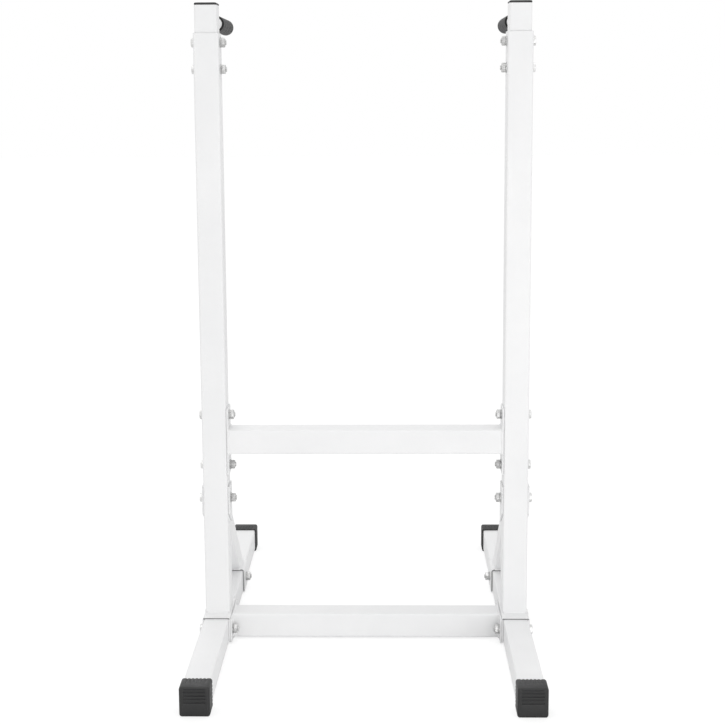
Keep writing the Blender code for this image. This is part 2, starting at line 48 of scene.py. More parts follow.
PICTURE_WIDTH_PX = 725
FOCAL_LENGTH_PX = 1312.4
LENS_AXIS_PX = (359.5, 275.5)
CAMERA_PLACE = (0.0418, -2.6958, 1.1234)
CAMERA_TURN_DEG = (82.012, 0.333, 1.082)

photo_camera = bpy.data.cameras.new("photo_camera")
photo_camera.lens = photo_camera.sensor_width * FOCAL_LENGTH_PX / PICTURE_WIDTH_PX
photo_camera.shift_x = 0.5 - LENS_AXIS_PX[0] / PICTURE_WIDTH_PX
photo_camera.shift_y = LENS_AXIS_PX[1] / PICTURE_WIDTH_PX - 0.5
camera = bpy.data.objects.new("photo_camera", photo_camera)
camera.location = CAMERA_PLACE
camera.rotation_euler = [math.radians(turn) for turn in CAMERA_TURN_DEG]
bpy.context.scene.collection.objects.link(camera)
bpy.context.scene.camera = camera
bpy.context.scene.view_settings.view_transform = "Standard"


# Feet. Two lengths of 50 mm square steel tube that lie front to back and carry everything. They are cut,
# drilled and powder coated white, and the coat has a fine orange peel. Its rounded edges are painted
# lighter than its face as a painted highlight.

SIDES = {"left": -1, "right": 1}
COAT_WHITE = (0.86, 0.86, 0.862, 1.0)
COAT_SHADE = (0.82, 0.822, 0.826, 1.0)
# The edge colour of the white coat is a painted highlight: its rounded edges are painted lighter than its
# face.
COAT_EDGE_HIGHLIGHT = (0.90, 0.90, 0.90, 1.0)
NOISE_RANGE = (0.3, 0.7)
NOISE_ROUGHNESS = 0.6
EDGE_SAMPLES = 8
EDGE_FULL_DOT = 0.86
RELIEF_STRENGTH = 0.5
MIX_MASK, MIX_FIRST, MIX_SECOND, MIX_COLOUR = 0, 6, 7, 2


def node_group(name, inputs, outputs):
    """An empty shader group with its named sockets, and its input and output nodes."""
    group = bpy.data.node_groups.new(name, "ShaderNodeTree")
    for label, value in inputs.items():
        socket = group.interface.new_socket(label, in_out="INPUT", socket_type="NodeSocketFloat")
        socket.default_value = value
    for label, kind in outputs.items():
        group.interface.new_socket(label, in_out="OUTPUT", socket_type=kind)
    return group, group.nodes.new("NodeGroupInput"), group.nodes.new("NodeGroupOutput")


def add_node(tree, kind, **values):
    """A shader node with some input sockets set by name, where an underscore stands for a space."""
    made = tree.nodes.new(kind)
    for label, value in values.items():
        made.inputs[label.replace("_", " ")].default_value = value
    return made


def add_math(tree, kind, operation, *sources):
    """A math node fed by other nodes' outputs."""
    made = tree.nodes.new(kind)
    made.operation = operation
    for source, socket in zip(sources, made.inputs):
        tree.links.new(source, socket)
    return made


def place_group(tree, group, **values):
    """A shader group placed in a material with its own values."""
    placed = tree.nodes.new("ShaderNodeGroup")
    placed.node_tree = group
    for label, value in values.items():
        placed.inputs[label].default_value = value
    return placed


def grain_group():
    """Fine grain at a stated number of grains a metre, and a slow drift over the piece, both from 0 to 1."""
    group, given, result = node_group(
        "grain", {"Grains": 500.0, "Drifts": 6.0}, {"Grain": "NodeSocketFloat", "Drift": "NodeSocketFloat"}
    )
    place = group.nodes.new("ShaderNodeTexCoord")
    for socket, detail, label in (("Grains", 2.0, "Grain"), ("Drifts", 4.0, "Drift")):
        noise = add_node(group, "ShaderNodeTexNoise", Detail=detail, Roughness=NOISE_ROUGHNESS)
        group.links.new(place.outputs["Object"], noise.inputs["Vector"])
        group.links.new(given.outputs[socket], noise.inputs["Scale"])
        spread = add_node(group, "ShaderNodeMapRange", From_Min=NOISE_RANGE[0], From_Max=NOISE_RANGE[1])
        group.links.new(noise.outputs[0], spread.inputs["Value"])
        group.links.new(spread.outputs[0], result.inputs[label])
    return group


def soft_edge_group():
    """The normal of edges rounded to a stated width, and a mask of where they are."""
    group, given, result = node_group(
        "soft_edge", {"Width": 0.001}, {"Normal": "NodeSocketVector", "Edge": "NodeSocketFloat"}
    )
    rounded = group.nodes.new("ShaderNodeBevel")
    rounded.samples = EDGE_SAMPLES
    flat = group.nodes.new("ShaderNodeNewGeometry")
    normals = (rounded.outputs[0], flat.outputs["True Normal"])
    turn = add_math(group, "ShaderNodeVectorMath", "DOT_PRODUCT", *normals)
    spread = add_node(group, "ShaderNodeMapRange", From_Min=1.0, From_Max=EDGE_FULL_DOT)
    group.links.new(given.outputs["Width"], rounded.inputs["Radius"])
    group.links.new(turn.outputs["Value"], spread.inputs["Value"])
    group.links.new(rounded.outputs[0], result.inputs["Normal"])
    group.links.new(spread.outputs[0], result.inputs["Edge"])
    return group


grain_nodes = grain_group()
soft_edge_nodes = soft_edge_group()


def blend_colours(tree, mask, first, second):
    """A colour that goes from the first to the second with a mask. Each is a colour or a node's output."""
    blend = tree.nodes.new("ShaderNodeMix")
    blend.data_type = "RGBA"
    tree.links.new(mask, blend.inputs[MIX_MASK])
    for socket, colour in ((blend.inputs[MIX_FIRST], first), (blend.inputs[MIX_SECOND], second)):
        if isinstance(colour, tuple):
            socket.default_value = colour
        else:
            tree.links.new(colour, socket)
    return blend.outputs[MIX_COLOUR]


def finish_material(name, colours, roughness, edge_width, grains, grain_depth, drifts, metallic=0.0):
    """A finish with a drifting colour, an edge colour that is painted lighter as a painted highlight or
    darker as painted shade, uneven gloss and a grain in relief.

    The colours are two for the face and one for its edges, roughness is its least and most, and grains and
    drifts are counted over a metre.
    """
    material = bpy.data.materials.new(name)
    material.use_nodes = True
    tree = material.node_tree
    shader = tree.nodes["Principled BSDF"]
    shader.inputs["Metallic"].default_value = metallic
    grain = place_group(tree, grain_nodes, Grains=grains, Drifts=drifts)
    edges = place_group(tree, soft_edge_nodes, Width=edge_width)
    face = blend_colours(tree, grain.outputs["Drift"], colours[0], colours[1])
    colour = blend_colours(tree, edges.outputs["Edge"], face, colours[2])
    tree.links.new(colour, shader.inputs["Base Color"])
    gloss = add_node(tree, "ShaderNodeMapRange", To_Min=roughness[0], To_Max=roughness[1])
    tree.links.new(grain.outputs["Drift"], gloss.inputs["Value"])
    tree.links.new(gloss.outputs[0], shader.inputs["Roughness"])
    relief = add_node(tree, "ShaderNodeBump", Strength=RELIEF_STRENGTH, Distance=grain_depth)
    tree.links.new(grain.outputs["Grain"], relief.inputs["Height"])
    tree.links.new(edges.outputs["Normal"], relief.inputs["Normal"])
    tree.links.new(relief.outputs[0], shader.inputs["Normal"])
    return material


def white_coat(name):
    """The white powder coat with its orange peel, as a material of its own with the given name."""
    return finish_material(
        name,
        colours=(COAT_WHITE, COAT_SHADE, COAT_EDGE_HIGHLIGHT),
        roughness=(0.40, 0.52),
        edge_width=0.0022,
        grains=650.0,
        grain_depth=0.00007,
        drifts=5.0,
    )


def dress(names, material):
    """Give the frame's own pieces their finish."""
    for name in names:
        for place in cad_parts[name].material_slots:
            place.material = material


powder_coat = white_coat("white_powder_coat")
dress([f"foot_{side}" for side in SIDES], powder_coat)


# Foot caps. Four injection-moulded sleeve caps of black plastic, pushed over the tube's ends so that the
# station stands on them. The closed face has four grooves down to its middle and a finer line at the shoulder
# above them, and the sleeve has short flutes at its mouth.

CAP_BLACK = (0.0092, 0.0092, 0.0096, 1.0)
CAP_FADED = (0.0165, 0.0165, 0.017, 1.0)
# The edge colour of the caps is a painted highlight: their rounded edges are painted lighter than the black
# face.
CAP_EDGE_HIGHLIGHT = (0.058, 0.058, 0.059, 1.0)
CAP_ROUNDING = 0.005
CAP_ROUNDING_STEPS = 6
CAP_RIM = 0.001
CAP_WALL = 0.003
CAP_GROOVES = 4
CAP_GROOVE_PITCH = 0.0066
CAP_GROOVE_WIDTH = 0.0033
CAP_GROOVE_DEPTH = 0.0024
CAP_GROOVE_LENGTH = 0.041
CAP_FIRST_GROOVE = 0.0088
CAP_SHOULDER_LINE = 0.0038
CAP_SHOULDER_WIDTH = 0.0016
CAP_FLUTES = 6
CAP_FLUTE_PITCH = 0.007
CAP_FLUTE_RADIUS = 0.0019
CAP_FLUTE_LIFT = CAP_FLUTE_RADIUS * 0.45
CAP_FLUTE_LENGTH = 0.020
CAP_FLUTE_STEPS = 16
MOULDED_EDGE = 0.0003
SOFTEN_STEPS = 2
SLIVER = 0.000005


def select_only(piece):
    """Make a piece the only selected and the active object."""
    bpy.ops.object.select_all(action="DESELECT")
    piece.select_set(True)
    bpy.context.view_layer.objects.active = piece


def block(name, low, high):
    """A cube primitive brought to the size and place that two of its corners give."""
    bpy.ops.object.select_all(action="DESELECT")
    low, high = Vector(low), Vector(high)
    bpy.ops.mesh.primitive_cube_add(size=1.0, location=(low + high) / 2)
    piece = bpy.context.object
    piece.name = name
    piece.scale = high - low
    bpy.ops.object.transform_apply(location=True, rotation=True, scale=True)
    return piece


def edit(piece, kind, test):
    """Go into edit mode with just the edges or faces selected that pass the test."""
    select_only(piece)
    bpy.ops.object.mode_set(mode="EDIT")
    bpy.ops.mesh.select_mode(type=kind)
    bpy.ops.mesh.select_all(action="DESELECT")
    mesh = bmesh.from_edit_mesh(piece.data)
    for element in mesh.edges if kind == "EDGE" else mesh.faces:
        if test(element):
            element.select = True
    mesh.select_flush_mode()
    bmesh.update_edit_mesh(piece.data)


def edit_all(piece):
    """Go into edit mode with the whole piece selected."""
    edit(piece, "FACE", lambda face: True)


def bevel_edges(piece, test, width, segments):
    """Round the edges that pass the test."""
    edit(piece, "EDGE", test)
    bpy.ops.mesh.bevel(offset=width, segments=segments, affect="EDGES")
    bpy.ops.object.mode_set(mode="OBJECT")


def combine(piece, other, operation):
    """Cut, join or intersect a piece with another, which is used up."""
    select_only(piece)
    modifier = piece.modifiers.new(operation.lower(), "BOOLEAN")
    modifier.operation = operation
    modifier.object = other
    bpy.ops.object.modifier_apply(modifier=modifier.name)
    bpy.data.objects.remove(other, do_unlink=True)


def merge_close(piece, distance):
    """Merge the points that a cut leaves close together, and drop the faces that this empties."""
    edit_all(piece)
    bpy.ops.mesh.remove_doubles(threshold=distance)
    bpy.ops.mesh.dissolve_degenerate(threshold=distance)
    bpy.ops.object.mode_set(mode="OBJECT")


def soften(piece, width, angle=40.0):
    """Break the edges that are sharper than an angle, and shade the piece smooth between them."""
    merge_close(piece, width / 2)
    modifier = piece.modifiers.new("soften", "BEVEL")
    modifier.width = width
    modifier.segments = SOFTEN_STEPS
    modifier.limit_method = "ANGLE"
    modifier.angle_limit = math.radians(angle)
    modifier.use_clamp_overlap = True
    bpy.ops.object.modifier_apply(modifier=modifier.name)
    merge_close(piece, SLIVER)
    bpy.ops.object.shade_smooth_by_angle(angle=math.radians(angle))


def copy_to(pattern, name, matrix):
    """A copy of a pattern with its own mesh, moved to its place in the mesh."""
    mesh = pattern.data.copy()
    mesh.transform(matrix)
    piece = bpy.data.objects.new(name, mesh)
    bpy.context.scene.collection.objects.link(piece)
    return piece


def fit_out(piece, material, slot, *nodes):
    """Give a new piece its finish, and let it ride on the frame in place of the nodes."""
    piece.data.materials.clear()
    piece.data.materials.append(material)
    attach(piece, "root")
    if nodes:
        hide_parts(*nodes)


def middle(node):
    """The middle of a node's box."""
    low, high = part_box(node)
    return (low + high) / 2


def cut_cap_grooves(cap, half):
    """Cut the shoulder line and the grooves across the closed face, given half the cap's size."""
    reach = CAP_GROOVE_LENGTH / 2
    grooves = [(CAP_SHOULDER_LINE, CAP_SHOULDER_WIDTH)]
    for number in range(CAP_GROOVES):
        grooves.append((CAP_FIRST_GROOVE + number * CAP_GROOVE_PITCH, CAP_GROOVE_WIDTH))
    for drop, width in grooves:
        low_corner = (-reach, -half.y - CAP_WALL, half.z - drop - width / 2)
        high_corner = (reach, CAP_GROOVE_DEPTH - half.y, half.z - drop + width / 2)
        combine(cap, block("groove", low_corner, high_corner), "DIFFERENCE")


def cut_cap_flutes(cap, half):
    """Cut a row of flutes into each of the four sides at the mouth, given half the cap's size."""
    standing = Matrix.Rotation(math.pi / 2, 4, "X")
    for quarter in range(4):
        for number in range(CAP_FLUTES):
            across = (number - (CAP_FLUTES - 1) / 2) * CAP_FLUTE_PITCH
            bpy.ops.object.select_all(action="DESELECT")
            bpy.ops.mesh.primitive_cylinder_add(
                vertices=CAP_FLUTE_STEPS, radius=CAP_FLUTE_RADIUS, depth=2 * CAP_FLUTE_LENGTH
            )
            flute = bpy.context.object
            outward = Matrix.Translation((across, half.y, half.z + CAP_FLUTE_LIFT))
            flute.data.transform(Matrix.Rotation(quarter * math.pi / 2, 4, "Y") @ outward @ standing)
            combine(cap, flute, "DIFFERENCE")


def foot_cap_pattern():
    """A cap centred on the origin with its closed face at -Y."""
    low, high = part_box("foot_cap_front_left")
    half = (high - low) / 2
    cap = block("foot_cap_pattern", -half, half)
    mouth = half.y - CAP_RIM
    bevel_edges(
        cap, lambda edge: min(vert.co.y for vert in edge.verts) <= mouth, CAP_ROUNDING, CAP_ROUNDING_STEPS
    )
    inner = half.x - CAP_WALL
    hollow = block("hollow", (-inner, CAP_WALL - half.y, -inner), (inner, half.y * 2, inner))
    combine(cap, hollow, "DIFFERENCE")
    cut_cap_grooves(cap, half)
    cut_cap_flutes(cap, half)
    soften(cap, MOULDED_EDGE)
    return cap


cap_plastic = finish_material(
    "black_moulded_plastic",
    colours=(CAP_BLACK, CAP_FADED, CAP_EDGE_HIGHLIGHT),
    roughness=(0.46, 0.66),
    edge_width=0.0009,
    grains=1400.0,
    grain_depth=0.00012,
    drifts=22.0,
)
cap_pattern = foot_cap_pattern()
for side in SIDES:
    for end, turn in (("front", 0.0), ("rear", math.pi)):
        node = f"foot_cap_{end}_{side}"
        place = Matrix.Translation(middle(node)) @ Matrix.Rotation(turn, 4, "Z")
        sleeve = copy_to(cap_pattern, f"sleeve_cap_{end}_{side}", place)
        fit_out(sleeve, cap_plastic, "black_plastic", node)
bpy.data.objects.remove(cap_pattern, do_unlink=True)


# Upright saddles and uprights. Each saddle is 3 mm sheet folded over the foot, and the upright stands on it,
# held by a weld bead along its front and its back. Both are coated white with the bead under the coat, and a
# dark strip of painted shadow lies along the saddle's front and back edges, where the gap under the sheet is
# in shade.

BEAD_RADIUS = 0.0021
BEAD_PITCH = 0.0024
BEAD_RIPPLE = 0.00035
BEAD_STEPS = 12
BEAD_END_REACH = BEAD_PITCH * 0.15
BEAD_END_RADIUS = BEAD_RADIUS * 0.7
UPRIGHT_BEAD_INSET = BEAD_RADIUS * 1.5
SHEET = 0.003
# Painted shadow: a thin dark strip along the saddles' front and back edges stands for the shade in the gap
# between saddle and foot.
GAP_SHADOW_DARK = (0.24, 0.24, 0.243, 1.0)
GAP_SHADOW_BAND = 0.0002
SADDLE_SHADOW_FROM = 0.4 * SHEET
SADDLE_SHADOW_TO = 1.3 * SHEET
START_SIZE = 0.001
SEAM = 0.000001
TURNED_SHARP_DEG = 35.0


def band_group():
    """A mask of where X, Y or Z, whichever is 1, lies within a width of a place, to either side of it."""
    sockets = {"X": 0.0, "Y": 0.0, "Z": 0.0, "Place": 0.0, "Width": 0.001}
    group, given, result = node_group("band", sockets, {"Band": "NodeSocketFloat"})
    place = group.nodes.new("ShaderNodeTexCoord")
    direction = group.nodes.new("ShaderNodeCombineXYZ")
    for axis in "XYZ":
        group.links.new(given.outputs[axis], direction.inputs[axis])
    vectors = (place.outputs["Object"], direction.outputs[0])
    along = add_math(group, "ShaderNodeVectorMath", "DOT_PRODUCT", *vectors)
    values = (along.outputs["Value"], given.outputs["Place"], given.outputs["Width"])
    near = add_math(group, "ShaderNodeMath", "COMPARE", *values)
    group.links.new(near.outputs[0], result.inputs["Band"])
    return group


band_nodes = band_group()


def lay_colour(material, colour, bands):
    """Lay a colour over a finish where all the bands meet, each given as axis, place and half its width."""
    tree = material.node_tree
    target = tree.nodes["Principled BSDF"].inputs["Base Color"]
    mask = None
    for axis, place, width in bands:
        band = place_group(tree, band_nodes, Place=place, Width=width, **{axis: 1.0}).outputs["Band"]
        if mask is None:
            mask = band
        else:
            mask = add_math(tree, "ShaderNodeMath", "MULTIPLY", mask, band).outputs[0]
    tree.links.new(blend_colours(tree, mask, target.links[0].from_socket, colour), target)


def coat_with_gap_shadow(name, node, strips):
    """The white coat of a saddle with strips of painted shadow along its front and back edges, where the gap
    under the sheet lies in shade.

    Each strip is a colour and the two drops below the saddle's top that it lies between.
    """
    low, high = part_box(node)
    coat = white_coat(name)
    for colour, start, end in strips:
        for edge in (low.y, high.y):
            bands = [("Y", edge, GAP_SHADOW_BAND), ("Z", high.z - (start + end) / 2, (end - start) / 2)]
            lay_colour(coat, colour, bands)
    return coat


def turned(name, profile, steps):
    """A turned piece round X, from a chain of points (reach along X, radius) that is extruded and spun."""
    bpy.ops.object.select_all(action="DESELECT")
    bpy.ops.mesh.primitive_plane_add(size=START_SIZE)
    piece = bpy.context.object
    piece.name = name
    bpy.ops.object.mode_set(mode="EDIT")
    bpy.ops.mesh.select_mode(type="VERT")
    bpy.ops.mesh.select_all(action="SELECT")
    bpy.ops.mesh.merge(type="CENTER")
    bpy.ops.transform.translate(value=(profile[0][0], 0, profile[0][1]))
    for here, there in zip(profile, profile[1:]):
        step = (there[0] - here[0], 0, there[1] - here[1])
        bpy.ops.mesh.extrude_vertices_move(TRANSFORM_OT_translate={"value": step})
    bpy.ops.mesh.select_all(action="SELECT")
    bpy.ops.mesh.spin(steps=steps, angle=2 * math.pi, center=(0, 0, 0), axis=(1, 0, 0))
    bpy.ops.mesh.select_all(action="SELECT")
    bpy.ops.mesh.remove_doubles(threshold=SEAM)
    bpy.ops.mesh.normals_make_consistent(inside=False)
    bpy.ops.object.mode_set(mode="OBJECT")
    select_only(piece)
    bpy.ops.object.shade_smooth_by_angle(angle=math.radians(TURNED_SHARP_DEG))
    return piece


def bead(start, end):
    """A straight weld bead with its ripples, along the line where two pieces meet."""
    run = Vector(end) - Vector(start)
    count = round(run.length / BEAD_PITCH)
    points = [(0.0, 0.0), (BEAD_END_REACH, BEAD_END_RADIUS)]
    for number in range(count):
        points.append(((number + 0.5) * run.length / count, BEAD_RADIUS))
        if number < count - 1:
            points.append(((number + 1) * run.length / count, BEAD_RADIUS - BEAD_RIPPLE))
    points += [(run.length - BEAD_END_REACH, BEAD_END_RADIUS), (run.length, 0.0)]
    piece = turned("bead", points, BEAD_STEPS)
    aim = run.to_track_quat("X", "Z").to_matrix().to_4x4()
    piece.data.transform(Matrix.Translation(start) @ aim)
    return piece


def join(name, pieces):
    """Several meshes as one piece."""
    select_only(pieces[0])
    for piece in pieces:
        piece.select_set(True)
    bpy.ops.object.join()
    bpy.context.object.name = name
    return bpy.context.object


for side in SIDES:
    low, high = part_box(f"upright_{side}")
    left, right = low.x + UPRIGHT_BEAD_INSET, high.x - UPRIGHT_BEAD_INSET
    beads = [bead((left, depth, low.z), (right, depth, low.z)) for depth in (low.y, high.y)]
    fit_out(join(f"weld_upright_{side}", beads), powder_coat, "white_powder_coat")
# The upright saddles get a strip of painted shadow along their front and back edges.
saddle_shadow_strips = [(GAP_SHADOW_DARK, SADDLE_SHADOW_FROM, SADDLE_SHADOW_TO)]
saddle_coat = coat_with_gap_shadow("upright_saddle_coat", "upright_saddle_left", saddle_shadow_strips)
dress([f"upright_saddle_{side}" for side in SIDES], saddle_coat)
dress([f"upright_{side}" for side in SIDES], powder_coat)


# Handle posts and their caps. The posts are 44 mm square tube that slides into the uprights, with a black
# moulded cap pressed into the open end. The cap lies on the rim and is slightly domed.

POST_CAP_EDGE = 0.0031
POST_CAP_RINGS = ((0.94, 0.0008), (0.93, 0.0004), (0.85, 0.0003), (0.6, 0.0002))
POST_CAP_CORNER = 0.003
POST_CAP_CORNER_STEPS = 5
POST_CAP_SOFTEN_DEG = 60.0
POST_CAP_GAP = 0.0003
PLUG_INSET = 0.0026
PLUG_JOIN = 0.0005
FACING = 0.9


def post_cap(side):
    """A square lid with a crown, over the top of a post, and the plug that holds it."""
    low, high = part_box(f"post_insert_{side}")
    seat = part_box(f"handle_post_{side}")[1].z + POST_CAP_GAP
    lid = block(f"post_cap_{side}", (low.x, low.y, seat), (high.x, high.y, seat + POST_CAP_EDGE))
    bevel_edges(
        lid,
        lambda edge: abs(edge.verts[0].co.z - edge.verts[1].co.z) > POST_CAP_EDGE / 2,
        POST_CAP_CORNER,
        POST_CAP_CORNER_STEPS,
    )
    edit(lid, "FACE", lambda face: face.normal.z > FACING)
    for scale, rise in POST_CAP_RINGS:
        bpy.ops.mesh.inset(thickness=0.0)
        bpy.ops.transform.resize(value=(scale, scale, 1), center_override=(low + high) / 2)
        bpy.ops.transform.translate(value=(0, 0, rise))
    bpy.ops.object.mode_set(mode="OBJECT")
    plug_low = (low.x + PLUG_INSET, low.y + PLUG_INSET, low.z)
    plug_high = (high.x - PLUG_INSET, high.y - PLUG_INSET, seat + PLUG_JOIN)
    combine(lid, block("plug", plug_low, plug_high), "UNION")
    soften(lid, MOULDED_EDGE, angle=POST_CAP_SOFTEN_DEG)
    return lid


for side in SIDES:
    fit_out(post_cap(side), cap_plastic, "black_plastic", f"post_insert_{side}")
dress([f"handle_post_{side}" for side in SIDES], powder_coat)


# Handles. Round steel tube, 25 mm across, welded to the back of each post and coated with it. The weld goes
# all round the tube.

HANDLE_WALL = 0.002
HANDLE_STEPS = 64
RING_RIPPLES = 34
RING_RIPPLE_STEPS = 4


def ring_bead(name, radius):
    """A rippled weld bead round a tube that stands along Z."""
    bpy.ops.object.select_all(action="DESELECT")
    bpy.ops.mesh.primitive_torus_add(
        major_segments=RING_RIPPLES * RING_RIPPLE_STEPS,
        minor_segments=BEAD_STEPS,
        major_radius=radius,
        minor_radius=BEAD_RADIUS,
    )
    ring = bpy.context.object
    ring.name = name
    for vert in ring.data.vertices:
        angle = math.atan2(vert.co.y, vert.co.x)
        ripple = 1 - BEAD_RIPPLE / BEAD_RADIUS * (0.5 + 0.5 * math.cos(RING_RIPPLES * angle))
        spine = Vector((math.cos(angle), math.sin(angle), 0)) * radius
        vert.co = spine + (vert.co - spine) * ripple
    select_only(ring)
    bpy.ops.object.shade_smooth()
    return ring


for side in SIDES:
    low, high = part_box(f"handle_{side}")
    centre = middle(f"handle_{side}")
    root = Matrix.Translation((centre.x, low.y, centre.z))
    length = high.y - low.y
    radius = (high.x - low.x) / 2
    inner = radius - HANDLE_WALL
    outline = [(0, inner), (0, radius), (length, radius), (length, inner), (0, inner)]
    tube = turned(f"handle_tube_{side}", outline, HANDLE_STEPS)
    tube.data.transform(root @ Matrix.Rotation(math.pi / 2, 4, "Z"))
    fit_out(tube, powder_coat, "white_powder_coat", f"handle_{side}")
    ring = ring_bead(f"weld_handle_{side}", radius)
    ring.data.transform(root @ Matrix.Rotation(math.pi / 2, 4, "X"))
    fit_out(ring, powder_coat, "white_powder_coat")


# Grips. Moulded rubber sleeves pressed over the handles, closed at the far end. Their ribs stand in groups
# with a plain band between the groups, and the ribs' edges are painted lighter as a painted highlight.

GRIP_DARK = (0.026, 0.026, 0.0265, 1.0)
GRIP_WORN = (0.135, 0.135, 0.136, 1.0)
# The edge colour of the grips is a painted highlight on the edges of the ribs.
GRIP_RIB_HIGHLIGHT = (0.17, 0.17, 0.17, 1.0)
# Painted shade: the face of the grip's mouth, next to the post, is painted near black where the post shades
# it.
GRIP_MOUTH_SHADE = (0.006, 0.006, 0.006, 1.0)
GRIP_MOUTH_SHADE_BAND = 0.0016
GRIP_RIB_HEIGHT = 0.0014
GRIP_RIB_SHOULDER = 0.0004
GRIP_RIB_PITCH = 0.0043
GRIP_RIB_STATIONS = (0.18, 0.42, 0.60, 0.8)
GRIP_RIBS_IN_GROUP = 8
GRIP_GROUPS = 4
GRIP_MOUTH_ROUNDING = 0.0015
GRIP_MOUTH_STEPS = 3
GRIP_END_ROUNDING = 0.005
GRIP_END_STEPS = 6
GRIP_END_WALL = 0.003
GRIP_BORE_GAP = 0.0003
GRIP_STEPS = 72


def arc(centre, radius, start, end, steps):
    """Points on an arc in a turned profile, with its angles in degrees from the radial direction."""
    points = []
    for step in range(steps + 1):
        angle = math.radians(start + (end - start) * step / steps)
        points.append((centre[0] + radius * math.sin(angle), centre[1] + radius * math.cos(angle)))
    return points


def grip_outside(length, radius, bore):
    """The outline of a grip from its mouth over its ribs to the middle of its closed end."""
    valley = radius - GRIP_RIB_HEIGHT
    shoulder = radius - GRIP_RIB_SHOULDER
    group = GRIP_RIBS_IN_GROUP * GRIP_RIB_PITCH
    band = (length - GRIP_GROUPS * group) / (GRIP_GROUPS + 1)
    mouth = (GRIP_MOUTH_ROUNDING, radius - GRIP_MOUTH_ROUNDING)
    points = [(0.0, bore)] + arc(mouth, GRIP_MOUTH_ROUNDING, -90, 0, GRIP_MOUTH_STEPS)
    for number in range(GRIP_GROUPS):
        start = band + number * (group + band)
        for rib in range(GRIP_RIBS_IN_GROUP):
            here = start + rib * GRIP_RIB_PITCH
            points.append((here, radius if rib == 0 else shoulder))
            for station, height in zip(GRIP_RIB_STATIONS, (valley, valley, shoulder, radius)):
                points.append((here + GRIP_RIB_PITCH * station, height))
    end = (length - GRIP_END_ROUNDING, radius - GRIP_END_ROUNDING)
    return points + arc(end, GRIP_END_ROUNDING, 0, 90, GRIP_END_STEPS) + [(length, 0.0)]


grip_rubber = finish_material(
    "grip_rubber",
    colours=(GRIP_DARK, GRIP_WORN, GRIP_RIB_HIGHLIGHT),
    roughness=(0.62, 0.8),
    edge_width=0.0009,
    grains=1500.0,
    grain_depth=0.00008,
    drifts=190.0,
)
# The mouth's face is painted near black as painted shade from the post.
lay_colour(grip_rubber, GRIP_MOUTH_SHADE, [("Y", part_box("grip_left")[0].y, GRIP_MOUTH_SHADE_BAND)])
for side in SIDES:
    low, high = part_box(f"grip_{side}")
    centre = middle(f"grip_{side}")
    handle_low, handle_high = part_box(f"handle_{side}")
    length = high.y - low.y
    radius = (high.x - low.x) / 2
    bore = (handle_high.x - handle_low.x) / 2 + GRIP_BORE_GAP
    inner_end = length - GRIP_END_WALL
    shell = turned(f"ribbed_grip_{side}", grip_outside(length, radius, bore), GRIP_STEPS)
    lining = turned("lining", [(inner_end, 0.0), (inner_end, bore), (0.0, bore)], GRIP_STEPS)
    edit_all(lining)
    bpy.ops.mesh.normals_make_consistent(inside=True)
    bpy.ops.object.mode_set(mode="OBJECT")
    grip = join(f"ribbed_grip_{side}", [shell, lining])
    edit_all(grip)
    bpy.ops.mesh.remove_doubles(threshold=SEAM)
    bpy.ops.object.mode_set(mode="OBJECT")
    root = Matrix.Translation((centre.x, low.y, centre.z))
    grip.data.transform(root @ Matrix.Rotation(math.pi / 2, 4, "Z"))
    fit_out(grip, grip_rubber, "grip_rubber", f"grip_{side}")


# Braces, with the bracket and the saddle that they join. Each brace is 40 mm square tube, mitred at both ends
# and welded to a folded bracket behind the upright and to a folded saddle over the foot.

TUBE_SIZE = 0.050
# The grey of the painted shade down the brace saddles' side edges.
GAP_SHADE_GREY = (0.40, 0.40, 0.403, 1.0)
MITRE_TOLERANCE = 0.0005

for side in SIDES:
    low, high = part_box(f"brace_{side}")
    points = [vert.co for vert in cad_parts[f"brace_{side}"].data.vertices]
    top_edge = min(point.z for point in points if point.y < low.y + MITRE_TOLERANCE)
    toe = min(point.y for point in points if point.z < low.z + MITRE_TOLERANCE)
    beads = [
        bead((low.x, low.y, high.z), (high.x, low.y, high.z)),
        bead((low.x, low.y, top_edge), (high.x, low.y, top_edge)),
        bead((low.x, toe, low.z), (high.x, toe, low.z)),
        bead((low.x, high.y, low.z), (high.x, high.y, low.z)),
    ]
    for across in (low.x, high.x):
        beads.append(bead((across, low.y, top_edge), (across, low.y, high.z)))
        beads.append(bead((across, toe, low.z), (across, high.y, low.z)))
    fit_out(join(f"weld_brace_{side}", beads), powder_coat, "white_powder_coat")
for kind in ("brace", "brace_bracket"):
    dress([f"{kind}_{side}" for side in SIDES], powder_coat)
# Painted shadow on the brace saddles: a dark strip along the top sheet's front and back edges, and a grey one
# down the sides' edges, for the shade in the gaps.
brace_saddle_shadow_strips = [(GAP_SHADOW_DARK, 0.0, SHEET), (GAP_SHADE_GREY, SHEET, TUBE_SIZE)]
brace_saddle_coat = coat_with_gap_shadow("brace_saddle_coat", "brace_saddle_left", brace_saddle_shadow_strips)
dress([f"brace_saddle_{side}" for side in SIDES], brace_saddle_coat)


# Crossbars. Two lengths of the 50 mm tube across the station, each with a drilled plate welded over either
# end. The upper one is bolted to the uprights and the lower one through the saddles.

END_PLATE = 0.003

for level in ("upper", "lower"):
    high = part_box(f"crossbar_{level}")[1]
    centre = middle(f"crossbar_{level}")
    half = TUBE_SIZE / 2
    for side, sign in SIDES.items():
        reach = sign * (high.x - END_PLATE)
        corners = [
            (reach, centre.y + y, centre.z + z)
            for y, z in ((-half, -half), (half, -half), (half, half), (-half, half))
        ]
        beads = [bead(here, there) for here, there in zip(corners, corners[1:] + corners[:1])]
        fit_out(join(f"weld_crossbar_{level}_{side}", beads), powder_coat, "white_powder_coat")
    dress([f"crossbar_{level}"], powder_coat)


# Bolts. M10 hexagon bolts of zinc-plated steel, put in from the outside, whose zinc is painted lighter than
# the nuts' as a painted highlight. Their heads have the chamfer that a hexagon bolt is turned with, and their
# threaded ends come out of the nuts.

